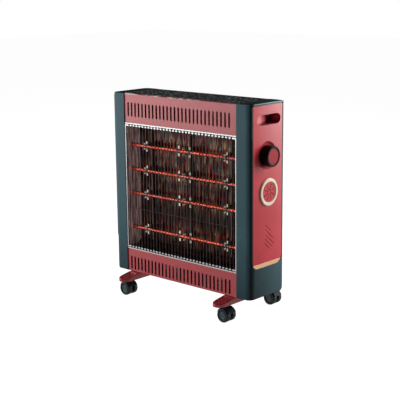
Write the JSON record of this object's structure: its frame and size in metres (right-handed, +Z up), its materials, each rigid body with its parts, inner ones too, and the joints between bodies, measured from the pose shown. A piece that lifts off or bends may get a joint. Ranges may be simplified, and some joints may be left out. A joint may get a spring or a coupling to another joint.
{
  "type": "quartz heater",
  "caption": "Free-standing quartz heater with a wire guard over horizontal glowing tubes, side controls, moulded grips, foot bars and twin-wheel casters.",
  "frame": {"origin": "middle of the footprint of the bounding box, on the floor", "axes": "+Z up, the heating window faces -Y, the control knob is on the +X end"},
  "size_m": [0.553, 0.286, 0.606],
  "materials": {
    "red_sheet": "satin",
    "slate_plastic": "satin",
    "black_plastic": "satin",
    "red_plastic": "satin",
    "copper_trim": "metallic",
    "ivory_plastic": "satin",
    "bright_chrome": "polished",
    "tray_steel": "polished",
    "quartz_glass": "polished",
    "glowing_coil": "glowing orange",
    "white_ceramic": "matt",
    "zinc_steel": "satin",
    "gloss_maroon": "gloss",
    "charcoal_plastic": "satin",
    "terminal_plastic": "matt"
  },
  "bodies": {
    "heater": {"base_plate": "zinc_steel", "ceramic_left_1": "white_ceramic", "ceramic_left_2": "white_ceramic", "ceramic_left_3": "white_ceramic", "ceramic_left_4": "white_ceramic", "ceramic_right_1": "white_ceramic", "ceramic_right_2": "white_ceramic", "ceramic_right_3": "white_ceramic", "ceramic_right_4": "white_ceramic", "cord_gland": "black_plastic", "front_guard": "bright_chrome", "guard_cross_wire": "bright_chrome", "heating_coil_1": "glowing_coil", "heating_coil_2": "glowing_coil", "heating_coil_3": "glowing_coil", "heating_coil_4": "glowing_coil", "left_end_cap": "slate_plastic", "left_foot_bar": "gloss_maroon", "left_side_panel": "red_plastic", "left_trim_strip": "copper_trim", "lower_front_panel": "red_sheet", "quartz_tube_1": "quartz_glass", "quartz_tube_2": "quartz_glass", "quartz_tube_3": "quartz_glass", "quartz_tube_4": "quartz_glass", "rear_panel": "red_sheet", "reflector": "tray_steel", "right_end_cap": "slate_plastic", "right_foot_bar": "gloss_maroon", "right_side_panel": "red_plastic", "right_trim_strip": "copper_trim", "switch_body": "terminal_plastic", "terminal_block": "terminal_plastic", "tip_over_switch": "terminal_plastic", "top_grille": "black_plastic", "tube_rack_left": "zinc_steel", "tube_rack_middle": "zinc_steel", "tube_rack_right": "zinc_steel", "upper_front_panel": "red_sheet", "vent_disc": "red_plastic", "vent_ring": "ivory_plastic"},
    "knob": {"control_knob": "black_plastic", "knob_cap": "red_plastic", "switch_shaft": "zinc_steel"},
    "caster_fl_fork": {"caster_fl_hood": "charcoal_plastic"},
    "caster_fl_wheels": {"caster_fl_axle": "zinc_steel", "caster_fl_wheel_front": "charcoal_plastic", "caster_fl_wheel_rear": "charcoal_plastic"},
    "caster_fr_fork": {"caster_fr_hood": "charcoal_plastic"},
    "caster_fr_wheels": {"caster_fr_axle": "zinc_steel", "caster_fr_wheel_front": "charcoal_plastic", "caster_fr_wheel_rear": "charcoal_plastic"},
    "caster_bl_fork": {"caster_bl_hood": "charcoal_plastic"},
    "caster_bl_wheels": {"caster_bl_axle": "zinc_steel", "caster_bl_wheel_front": "charcoal_plastic", "caster_bl_wheel_rear": "charcoal_plastic"},
    "caster_br_fork": {"caster_br_hood": "charcoal_plastic"},
    "caster_br_wheels": {"caster_br_axle": "zinc_steel", "caster_br_wheel_front": "charcoal_plastic", "caster_br_wheel_rear": "charcoal_plastic"}
  },
  "joints": [
    {"name": "knob_turn", "type": "hinge", "parent": "heater", "child": "knob", "pos_m": [0.2535, -0.014, 0.462], "axis": [1, 0, 0], "range_deg": [0, 240]},
    {"name": "caster_fl_swivel", "type": "hinge", "parent": "heater", "child": "caster_fl_fork", "pos_m": [-0.1985, -0.1035, 0.036], "axis": [0, 0, 1], "continuous": true},
    {"name": "caster_fl_roll", "type": "hinge", "parent": "caster_fl_fork", "child": "caster_fl_wheels", "pos_m": [-0.206, -0.1035, 0.02], "axis": [0, 1, 0], "continuous": true},
    {"name": "caster_fr_swivel", "type": "hinge", "parent": "heater", "child": "caster_fr_fork", "pos_m": [0.1755, -0.1035, 0.036], "axis": [0, 0, 1], "continuous": true},
    {"name": "caster_fr_roll", "type": "hinge", "parent": "caster_fr_fork", "child": "caster_fr_wheels", "pos_m": [0.183, -0.1035, 0.02], "axis": [0, 1, 0], "continuous": true},
    {"name": "caster_bl_swivel", "type": "hinge", "parent": "heater", "child": "caster_bl_fork", "pos_m": [-0.1985, 0.1035, 0.036], "axis": [0, 0, 1], "continuous": true},
    {"name": "caster_bl_roll", "type": "hinge", "parent": "caster_bl_fork", "child": "caster_bl_wheels", "pos_m": [-0.206, 0.1035, 0.02], "axis": [0, 1, 0], "continuous": true},
    {"name": "caster_br_swivel", "type": "hinge", "parent": "heater", "child": "caster_br_fork", "pos_m": [0.1755, 0.1035, 0.036], "axis": [0, 0, 1], "continuous": true},
    {"name": "caster_br_roll", "type": "hinge", "parent": "caster_br_fork", "child": "caster_br_wheels", "pos_m": [0.183, 0.1035, 0.02], "axis": [0, 1, 0], "continuous": true}
  ]
}
